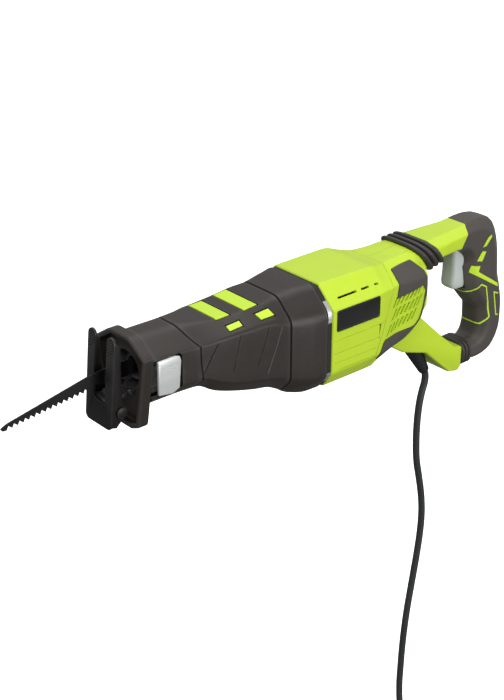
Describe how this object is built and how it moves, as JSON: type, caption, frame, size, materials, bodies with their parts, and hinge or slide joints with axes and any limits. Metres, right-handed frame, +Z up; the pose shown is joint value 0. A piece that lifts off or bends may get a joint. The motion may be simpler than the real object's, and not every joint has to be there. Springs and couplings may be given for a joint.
{
  "type": "reciprocating saw",
  "caption": "Corded reciprocating saw: thin toothed blade, pivoting slotted shoe, boxy nose, round motor barrel and a closed rear handle held by ribbed bellows.",
  "frame": {"origin": "centre of the rear grip, in the middle plane of the saw", "axes": "+X backwards from the blade to the handle, +Y to the saw's right as seen from behind with +Z up, +Z up from the cord side to the top of the motor barrel"},
  "size_m": [0.548, 0.0946, 0.8091],
  "materials": {
    "green_plastic": "satin moulded lime green",
    "rubber_grey": "matt warm dark grey",
    "black_plastic": "matt black",
    "black_rubber": "matt black",
    "black_steel": "black oxide",
    "silver_paint": "silver",
    "steel": "ground steel",
    "aluminium_casting": "cast",
    "copper": "enamelled copper",
    "bronze": "satin",
    "carbon": "matt carbon",
    "light_grey_plastic": "satin light grey",
    "cord_rubber": "matt charcoal"
  },
  "bodies": {
    "handle": {"handle_left": "green_plastic", "handle_right": "green_plastic", "grip_left": "rubber_grey", "grip_right": "rubber_grey", "switch_body": "black_plastic", "trigger_spring": "steel"},
    "trigger": {"trigger": "light_grey_plastic"},
    "housing": {"gear_housing": "aluminium_casting", "nose_boot": "rubber_grey", "nose_guard": "rubber_grey", "plunger_front_bushing": "bronze", "shaft_seal": "black_rubber", "plunger_rear_guide": "bronze", "gear_axle": "steel", "gear_bearing": "bronze", "front_motor_bearing": "steel", "rear_motor_bearing": "steel", "motor_end_bracket": "black_plastic", "motor_barrel": "green_plastic", "rear_housing_left": "green_plastic", "rear_housing_right": "green_plastic", "bumper_left": "rubber_grey", "bumper_right": "rubber_grey", "badge_left": "black_plastic", "badge_right": "black_plastic", "stator": "steel", "field_winding_front": "copper", "field_winding_rear": "copper", "brush_holder_left": "bronze", "brush_holder_right": "bronze", "brush_left": "carbon", "brush_right": "carbon", "strain_relief": "black_rubber", "power_cord": "cord_rubber", "cord_hank": "cord_rubber", "cord_tie": "black_plastic", "cord_tail": "cord_rubber", "plug_body": "black_plastic", "plug_blade_1": "bronze", "plug_blade_2": "bronze", "upper_bellows": "rubber_grey", "lower_bellows": "rubber_grey", "release_button_spring": "steel"},
    "plunger": {"plunger_shaft": "steel", "blade": "black_steel", "clamp_lock_pin": "steel"},
    "collar": {"blade_clamp_collar": "black_steel"},
    "rotor": {"armature_shaft": "steel", "armature_core": "steel", "armature_winding_front": "copper", "armature_winding_rear": "copper", "commutator": "copper", "cooling_fan": "black_plastic"},
    "crank_gear": {"drive_gear": "steel", "crank_pin": "steel", "crank_roller": "steel"},
    "shoe_post": {"shoe_post": "steel", "shoe_pivot_pin": "steel"},
    "shoe": {"pivot_shoe": "black_steel"},
    "release_button": {"shoe_release_button": "silver_paint"}
  },
  "joints": [
    {"name": "trigger_pull", "type": "slide", "parent": "handle", "child": "trigger", "axis": [1, 0, 0], "range_m": [0, 0.007], "stiffness_N_per_m": 1000, "springref_m": -0.003, "deforming": ["trigger_spring"]},
    {"name": "handle_float", "type": "slide", "parent": "handle", "child": "housing", "axis": [1, 0, 0], "range_m": [-0.002, 0.002], "stiffness_N_per_m": 15000, "deforming": ["upper_bellows", "lower_bellows"]},
    {"name": "plunger_stroke", "type": "slide", "parent": "housing", "child": "plunger", "axis": [1, 0, 0], "range_m": [-0.0143, 0.0143]},
    {"name": "clamp_twist", "type": "hinge", "parent": "plunger", "child": "collar", "pos_m": [-0.3955, 0, 0.06], "axis": [1, 0, 0], "range_deg": [0, 60], "stiffness_Nm_per_rad": 0.4, "springref_deg": -8.59},
    {"name": "rotor_spin", "type": "hinge", "parent": "housing", "child": "rotor", "pos_m": [-0.2, 0, 0.0395], "axis": [1, 0, 0], "continuous": true},
    {"name": "gear_spin", "type": "hinge", "parent": "housing", "child": "crank_gear", "pos_m": [-0.306, 0, 0.031], "axis": [0, 0, 1], "continuous": true},
    {"name": "shoe_extend", "type": "slide", "parent": "housing", "child": "shoe_post", "axis": [-1, 0, 0], "range_m": [0, 0.025]},
    {"name": "shoe_pivot", "type": "hinge", "parent": "shoe_post", "child": "shoe", "pos_m": [-0.4317, 0, 0.0345], "axis": [0, 1, 0], "range_deg": [-18, 0]},
    {"name": "release_press", "type": "slide", "parent": "housing", "child": "release_button", "axis": [0, 1, 0], "range_m": [0, 0.003], "stiffness_N_per_m": 1500, "springref_m": -0.002, "deforming": ["release_button_spring"]}
  ],
  "couplings": [
    {"joint": "gear_spin", "follows": "rotor_spin", "ratio": 0.11111}
  ]
}
